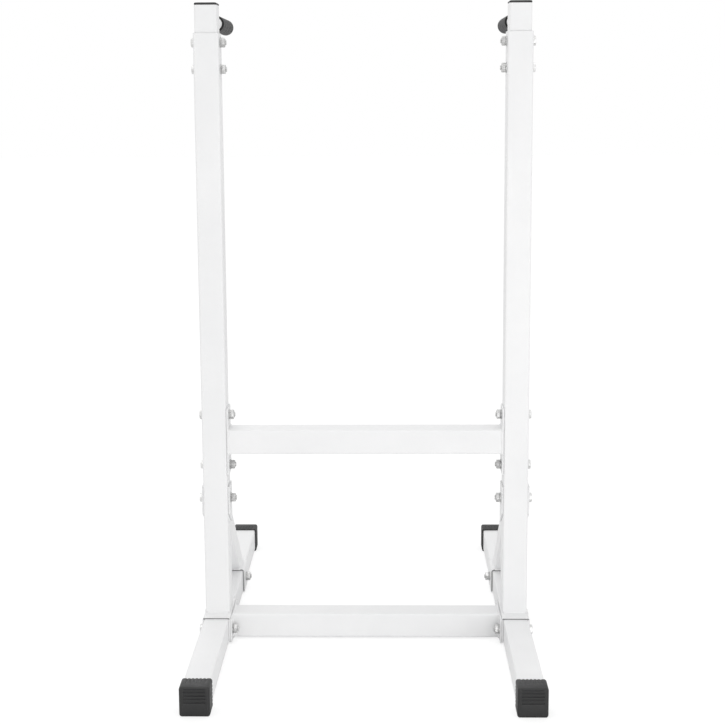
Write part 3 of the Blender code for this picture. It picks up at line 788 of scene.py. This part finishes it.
# The bolts' zinc is painted lighter than the nuts' as a painted highlight on their heads.
BOLT_ZINC_HIGHLIGHT = (0.88, 0.88, 0.872, 1.0)
BOLT_ZINC_DULL = (0.64, 0.64, 0.636, 1.0)
# The bolts' edge colour is painted shade: their edges and thread are painted darker.
BOLT_ZINC_EDGE_SHADE = (0.56, 0.56, 0.56, 1.0)
HEX_FLATS = 0.017
HEX_CORNER = HEX_FLATS / math.sqrt(3.0)
HEX_FACE_RADIUS = 0.0080
HEX_CUT_RADIUS = HEX_CORNER + 0.0002
HEX_CHAMFER = (HEX_CUT_RADIUS - HEX_FACE_RADIUS) * math.tan(math.radians(30.0))
HEX_CUT_STEPS = 48
HEX_EDGE = 0.00025
HEX_SOFTEN_DEG = 25.0
HEAD_HEIGHT = 0.0064
BOLT_RADIUS = 0.005
BOLT_STEPS = 32
BOLT_TIP_REACH = 0.0006
BOLT_TIP_DROP = 0.0008
THREAD_PITCH = 0.0015
THREAD_DEPTH = 0.0006
THREADED_LENGTH = 0.018
TURN_STEP = math.radians(17.0)


def hexagon(name, start, end):
    """A hexagonal prism along X."""
    bpy.ops.object.select_all(action="DESELECT")
    bpy.ops.mesh.primitive_cylinder_add(vertices=6, radius=HEX_CORNER, depth=end - start)
    piece = bpy.context.object
    piece.name = name
    centre = Matrix.Translation(((start + end) / 2, 0, 0))
    piece.data.transform(centre @ Matrix.Rotation(math.pi / 2, 4, "Y"))
    return piece


def bolt_pattern(length):
    """A bolt along X, from the outer face of its head at zero, whose whole length is given."""
    head = hexagon("bolt_pattern", 0, HEAD_HEIGHT)
    outline = [(0, 0), (0, HEX_FACE_RADIUS), (HEX_CHAMFER, HEX_CUT_RADIUS)]
    outline += [(HEAD_HEIGHT, HEX_CUT_RADIUS), (HEAD_HEIGHT, 0)]
    combine(head, turned("chamfer", outline, HEX_CUT_STEPS), "INTERSECT")
    soften(head, HEX_EDGE, angle=HEX_SOFTEN_DEG)
    points = [(HEAD_HEIGHT / 2, 0), (HEAD_HEIGHT / 2, BOLT_RADIUS)]
    crest = length - THREADED_LENGTH
    while crest < length - 2 * THREAD_PITCH / 3:
        points += [(crest, BOLT_RADIUS), (crest + THREAD_PITCH / 2, BOLT_RADIUS - THREAD_DEPTH)]
        crest += THREAD_PITCH
    points += [(length - BOLT_TIP_REACH, BOLT_RADIUS), (length, BOLT_RADIUS - BOLT_TIP_DROP), (length, 0)]
    return join("bolt_pattern", [head, turned("shank", points, BOLT_STEPS)])


def zinc_finish(name, bright, dull, edge):
    """Zinc plate with its fine spangle, in the colours of its bright and its dull parts, and a darker colour
    along its edges and in its hollows that is painted shade.
    """
    return finish_material(
        name,
        colours=(bright, dull, edge),
        roughness=(0.34, 0.52),
        edge_width=0.0006,
        grains=2400.0,
        grain_depth=0.00003,
        drifts=130.0,
        metallic=1.0,
    )


def fastener_place(node, turn):
    """Where a pattern along X goes for a bolt or nut, with its own turn round its axis."""
    low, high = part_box(node)
    centre = middle(node)
    outer, facing = (low.x, 0.0) if node.endswith("left") else (high.x, math.pi)
    seat = Matrix.Translation((outer, centre.y, centre.z))
    return seat @ Matrix.Rotation(facing, 4, "Z") @ Matrix.Rotation(turn, 4, "X")


bolt_zinc_highlight = zinc_finish("zinc_plate_highlight", BOLT_ZINC_HIGHLIGHT, BOLT_ZINC_DULL, BOLT_ZINC_EDGE_SHADE)
bolts = sorted(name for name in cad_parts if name.startswith("bolt_"))
bolt_patterns = {}
for number, node in enumerate(bolts):
    low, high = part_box(node)
    length = round(high.x - low.x, 5)
    if length not in bolt_patterns:
        bolt_patterns[length] = bolt_pattern(length)
    place = fastener_place(node, number * TURN_STEP)
    bolt = copy_to(bolt_patterns[length], f"hexagon_{node}", place)
    fit_out(bolt, bolt_zinc_highlight, "zinc_plate", node)
for pattern in bolt_patterns.values():
    bpy.data.objects.remove(pattern, do_unlink=True)


# Nuts. M10 nuts, each with a flat washer, on the inner side of every joint. They are zinc plated and darker
# than the bolts, whose zinc carries a painted highlight, chamfered on both faces and countersunk round the
# thread.

NUT_ZINC = (0.78, 0.78, 0.772, 1.0)
NUT_ZINC_DULL = (0.46, 0.46, 0.46, 1.0)
# The nuts' edge colour is painted shade: their edges, chamfers and bore are painted darker.
NUT_ZINC_EDGE_SHADE = (0.32, 0.32, 0.32, 1.0)
NUT_BORE = 0.0053
NUT_TURN_OFFSET = 0.4
COUNTERSINK = 0.0006
CUT_MARGIN = 0.001
WASHER_RADIUS = 0.010
WASHER_THICKNESS = 0.002
WASHER_EDGE = 0.0003
WASHER_STEPS = 48


def nut_pattern(height):
    """A washer and a nut along X, from the washer's seat at zero to the nut's outer face."""
    base = WASHER_THICKNESS
    nut = hexagon("nut_pattern", base, height)
    outline = [(base, 0), (base, HEX_FACE_RADIUS), (base + HEX_CHAMFER, HEX_CUT_RADIUS)]
    outline += [(height - HEX_CHAMFER, HEX_CUT_RADIUS), (height, HEX_FACE_RADIUS), (height, 0)]
    combine(nut, turned("chamfers", outline, HEX_CUT_STEPS), "INTERSECT")
    wide = NUT_BORE + COUNTERSINK
    bore = [(base - CUT_MARGIN, 0), (base - CUT_MARGIN, NUT_BORE), (height - COUNTERSINK, NUT_BORE)]
    bore += [(height, wide), (height + CUT_MARGIN, wide), (height + CUT_MARGIN, 0)]
    combine(nut, turned("bore", bore, BOLT_STEPS), "DIFFERENCE")
    soften(nut, HEX_EDGE, angle=HEX_SOFTEN_DEG)
    rim = WASHER_RADIUS - WASHER_EDGE
    ring = [(0, NUT_BORE), (0, rim), (WASHER_EDGE, WASHER_RADIUS), (base - WASHER_EDGE, WASHER_RADIUS)]
    ring += [(base, rim), (base, NUT_BORE), (0, NUT_BORE)]
    return join("nut_pattern", [nut, turned("washer", ring, WASHER_STEPS)])


nut_zinc = zinc_finish("zinc_plate", NUT_ZINC, NUT_ZINC_DULL, NUT_ZINC_EDGE_SHADE)
nuts = sorted(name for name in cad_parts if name.startswith("nut_"))
low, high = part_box(nuts[0])
washer_and_nut = nut_pattern(high.x - low.x)
for number, node in enumerate(nuts):
    place = fastener_place(node, (number + NUT_TURN_OFFSET) * TURN_STEP)
    nut = copy_to(washer_and_nut, f"hexagon_{node}", place)
    fit_out(nut, nut_zinc, "zinc_plate", node)
bpy.data.objects.remove(washer_and_nut, do_unlink=True)


# Studio. A pale floor without an edge that keeps the soft shadow, a white surround, and soft lamps: a large
# and a low one from the camera's side, one from above and one from behind.

FLOOR_SIZE = 40.0
FLOOR_SHADE = (0.90, 0.90, 0.90, 1.0)
FLOOR_SHADOW = (0.32, 0.32, 0.32, 1.0)
FLOOR_GLOW = 0.75
SURROUND_WHITE = (1.0, 1.0, 1.0, 1.0)
SURROUND_LIGHT = 0.82

bpy.ops.object.select_all(action="DESELECT")
bpy.ops.mesh.primitive_plane_add(size=FLOOR_SIZE)
floor = bpy.context.object
floor.name = "studio_floor"
floor_finish = bpy.data.materials.new("studio_floor")
floor_finish.use_nodes = True
tree = floor_finish.node_tree
tree.nodes.remove(tree.nodes["Principled BSDF"])
seen = tree.nodes.new("ShaderNodeLightPath")
glow = add_node(tree, "ShaderNodeEmission", Strength=FLOOR_GLOW)
shadow_catch = add_node(tree, "ShaderNodeBsdfDiffuse", Color=FLOOR_SHADOW)
bounce = add_node(tree, "ShaderNodeBsdfDiffuse", Color=FLOOR_SHADE)
pale = tree.nodes.new("ShaderNodeAddShader")
choice = tree.nodes.new("ShaderNodeMixShader")
tree.links.new(glow.outputs[0], pale.inputs[0])
tree.links.new(shadow_catch.outputs[0], pale.inputs[1])
tree.links.new(seen.outputs["Is Camera Ray"], choice.inputs[0])
tree.links.new(bounce.outputs[0], choice.inputs[1])
tree.links.new(pale.outputs[0], choice.inputs[2])
tree.links.new(choice.outputs[0], tree.nodes["Material Output"].inputs["Surface"])
floor.data.materials.append(floor_finish)

surround = bpy.data.worlds.new("white_surround")
surround.use_nodes = True
bpy.context.scene.world = surround
tree = surround.node_tree
sky = tree.nodes["Background"]
sky.inputs["Color"].default_value = SURROUND_WHITE
seen = tree.nodes.new("ShaderNodeLightPath")
rays = (seen.outputs["Is Camera Ray"], seen.outputs["Is Glossy Ray"])
direct = add_math(tree, "ShaderNodeMath", "MAXIMUM", *rays)
brightness = add_node(tree, "ShaderNodeMapRange", To_Min=SURROUND_LIGHT, To_Max=1.0)
tree.links.new(direct.outputs[0], brightness.inputs["Value"])
tree.links.new(brightness.outputs[0], sky.inputs["Strength"])


def soft_lamp(name, size, watts, place, target):
    """A large soft box that faces a point."""
    lamp = bpy.data.lights.new(name, "AREA")
    lamp.shape = "RECTANGLE"
    lamp.size, lamp.size_y = size
    lamp.energy = watts
    holder = bpy.data.objects.new(name, lamp)
    holder.location = place
    holder.rotation_euler = (Vector(target) - Vector(place)).to_track_quat("-Z", "Y").to_euler()
    bpy.context.scene.collection.objects.link(holder)


soft_lamp("front_box", size=(3.6, 2.0), watts=34.0, place=(1.4, -4.8, 0.6), target=(0, 0, 0.5))
soft_lamp("low_front_box", size=(1.8, 0.4), watts=6.7, place=(0.6, -2.6, 0.25), target=(0, 0, 0.1))
soft_lamp("top_box", size=(2.6, 2.6), watts=20.0, place=(-0.3, -0.2, 3.6), target=(0, 0, 0))
soft_lamp("back_box", size=(2.4, 1.6), watts=10.0, place=(-1.6, 3.4, 2.4), target=(0, 0, 0.6))
